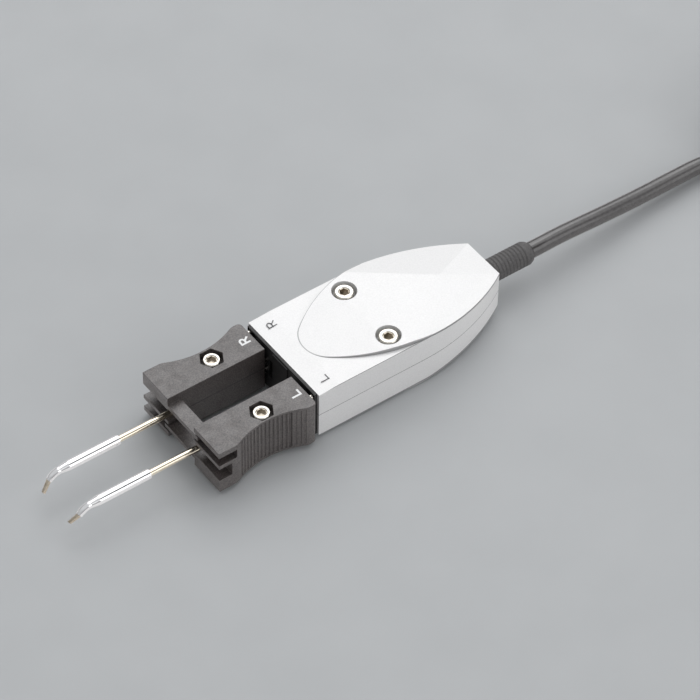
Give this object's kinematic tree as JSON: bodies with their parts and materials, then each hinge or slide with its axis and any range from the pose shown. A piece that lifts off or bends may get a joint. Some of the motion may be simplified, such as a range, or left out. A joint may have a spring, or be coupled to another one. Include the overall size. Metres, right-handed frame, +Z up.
{
  "type": "soldering tweezers",
  "caption": "Soldering tweezers: silver two-shell handle, sprung black grips with interleaved combs, heated tips on thin tubes bent down at the ends, cable and round plug.",
  "frame": {"origin": "under the middle of the length from the cable boot's end to the blades, on the bench", "axes": "+X forward along the tool to the tips, +Y to its left, +Z up"},
  "size_m": [0.3942, 0.0462, 0.0204],
  "materials": {
    "silver_paint": "satin silver paint on moulded plastic",
    "grip_plastic": "fine mottled grain, heat-resistant",
    "black_plastic": "matt",
    "nickel": "bright nickel",
    "steel": "plain",
    "brass": "plain",
    "brass_tube": "pale, drawn",
    "chrome": "polished",
    "tinned": "tinned, heat-tinted",
    "ceramic": "ceramic",
    "board": "lacquered",
    "wire_red": "silicone insulation",
    "wire_blue": "silicone insulation",
    "boot_rubber": "matt",
    "cable_rubber": "satin silicone"
  },
  "bodies": {
    "handle": {"upper_shell": "silver_paint", "lower_shell": "silver_paint", "front_plate": "black_plastic", "pivot_screws": "nickel", "pivot_bushes": "brass", "screw_inserts": "brass", "return_spring": "steel", "terminal_board": "board", "conductors": "wire_red", "left_wires": "wire_blue", "right_wires": "wire_blue", "cord_clamp": "black_plastic", "clamp_screws": "nickel", "cable_boot": "boot_rubber", "cable_core": "cable_rubber", "cable": "cable_rubber", "cable_hank": "cable_rubber", "cable_tail": "cable_rubber", "hank_tie": "black_plastic", "plug_boot": "boot_rubber", "plug_shell": "nickel", "plug_insert": "black_plastic", "plug_contacts": "brass"},
    "left_arm": {"left_lever": "steel", "left_socket": "black_plastic", "left_contacts": "nickel", "left_guide_pins": "nickel", "left_grip_upper": "grip_plastic", "left_grip_lower": "grip_plastic", "left_clamp_screw": "nickel", "left_clamp_nut": "nickel", "left_tube": "brass_tube", "left_barrel": "chrome", "left_blade": "tinned", "left_heater": "ceramic"},
    "right_arm": {"right_lever": "steel", "right_socket": "black_plastic", "right_contacts": "nickel", "right_guide_pins": "nickel", "right_grip_upper": "grip_plastic", "right_grip_lower": "grip_plastic", "right_clamp_screw": "nickel", "right_clamp_nut": "nickel", "right_tube": "brass_tube", "right_barrel": "chrome", "right_blade": "tinned", "right_heater": "ceramic"},
    "coupling_ring": {"plug_ring": "nickel"}
  },
  "joints": [
    {"name": "left_pivot", "type": "hinge", "parent": "handle", "child": "left_arm", "pos_m": [-0.02254, 0.01031, 0.00935], "axis": [0, 0, -1], "range_deg": [0, 3.3], "stiffness_Nm_per_rad": 0.9, "springref_deg": -2.64, "deforming": ["return_spring", "left_wires"]},
    {"name": "right_pivot", "type": "hinge", "parent": "handle", "child": "right_arm", "pos_m": [-0.02254, -0.01031, 0.00935], "axis": [0, 0, 1], "range_deg": [0, 3.3], "stiffness_Nm_per_rad": 0.9, "springref_deg": -2.64, "deforming": ["return_spring", "right_wires"]},
    {"name": "ring_turn", "type": "hinge", "parent": "handle", "child": "coupling_ring", "pos_m": [-0.303, 0.0154, 0.0075], "axis": [-1, 0, 0], "continuous": true}
  ]
}
